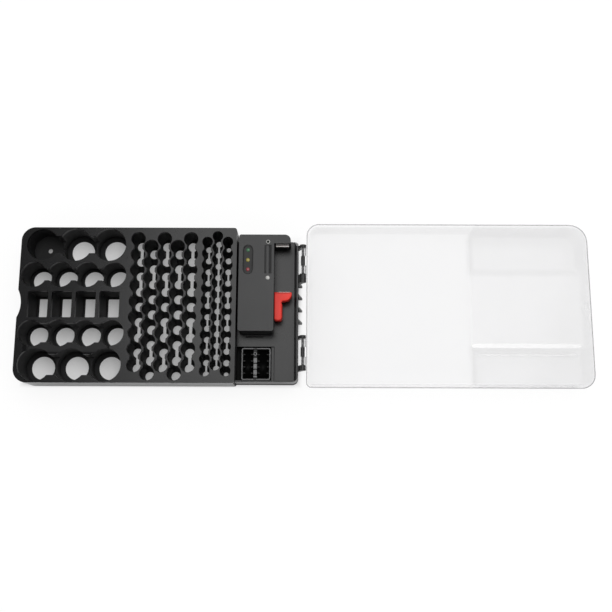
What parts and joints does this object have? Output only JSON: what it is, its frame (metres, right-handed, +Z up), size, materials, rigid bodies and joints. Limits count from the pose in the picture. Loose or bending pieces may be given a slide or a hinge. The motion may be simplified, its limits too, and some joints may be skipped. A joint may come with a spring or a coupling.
{
  "type": "battery storage case",
  "caption": "Flat battery storage case with a black tray of cell wells, a clear snap-hinged lid, a lift-out battery tester with a sliding contact and a lift-out button-cell rack.",
  "frame": {"origin": "the middle of the open case's outline, on the table it stands on", "axes": "+X along the case from the tray to the open lid, +Y away from the user, +Z up"},
  "size_m": [0.5874, 0.171, 0.0375],
  "materials": {
    "tray_black": "polished",
    "lid_clear": "polished",
    "tester_black": "polished",
    "slider_red": "satin",
    "led_red": "polished",
    "led_yellow": "polished",
    "led_green": "polished",
    "contact_metal": "satin",
    "screw_steel": "satin",
    "board_green": "satin",
    "resistor_body": "matte",
    "rack_black": "polished"
  },
  "bodies": {
    "tray": {"tray_d_wells": "tray_black", "tray_c_wells": "tray_black", "tray_nine_volt_wells": "tray_black", "tray_round_dish": "tray_black", "tray_aa_wells": "tray_black", "tray_aa_floor": "tray_black", "tray_aaa_wells": "tray_black", "tray_aaa_floor": "tray_black", "tray_lower_deck": "tray_black", "tray_hinge_lugs_rear": "tray_black", "tray_hinge_lugs_front": "tray_black", "tray_hinge_bar_rear": "tray_black", "tray_hinge_bar_front": "tray_black", "tray_gussets": "tray_black"},
    "lid": {"lid_shell": "lid_clear", "lid_latch": "lid_clear", "lid_clips_rear": "lid_clear", "lid_clips_front": "lid_clear"},
    "tester": {"tester_upper_shell": "tester_black", "tester_lower_shell": "tester_black", "tester_board": "board_green", "tester_resistors": "resistor_body", "tester_rail": "contact_metal", "led_red": "led_red", "led_yellow": "led_yellow", "led_green": "led_green", "tester_ring_contact": "contact_metal", "tester_dot_contact": "contact_metal", "tester_fixed_contact": "contact_metal", "tester_screws": "screw_steel"},
    "slider": {"slider_grip": "slider_red", "slider_contact": "contact_metal"},
    "button_rack": {"button_rack": "rack_black"}
  },
  "joints": [
    {"name": "lid_hinge", "type": "hinge", "parent": "tray", "child": "lid", "pos_m": [-0.00145, 0, 0.0325], "axis": [0, 1, 0], "range_deg": [-180, 0]},
    {"name": "tester_lift", "type": "slide", "parent": "tray", "child": "tester", "axis": [0, 0, 1], "range_m": [0, 0.05]},
    {"name": "slider_travel", "type": "slide", "parent": "tester", "child": "slider", "axis": [0, 1, 0], "range_m": [-0.0115, 0.044]},
    {"name": "rack_lift", "type": "slide", "parent": "tray", "child": "button_rack", "axis": [0, 0, 1], "range_m": [0, 0.055]}
  ]
}
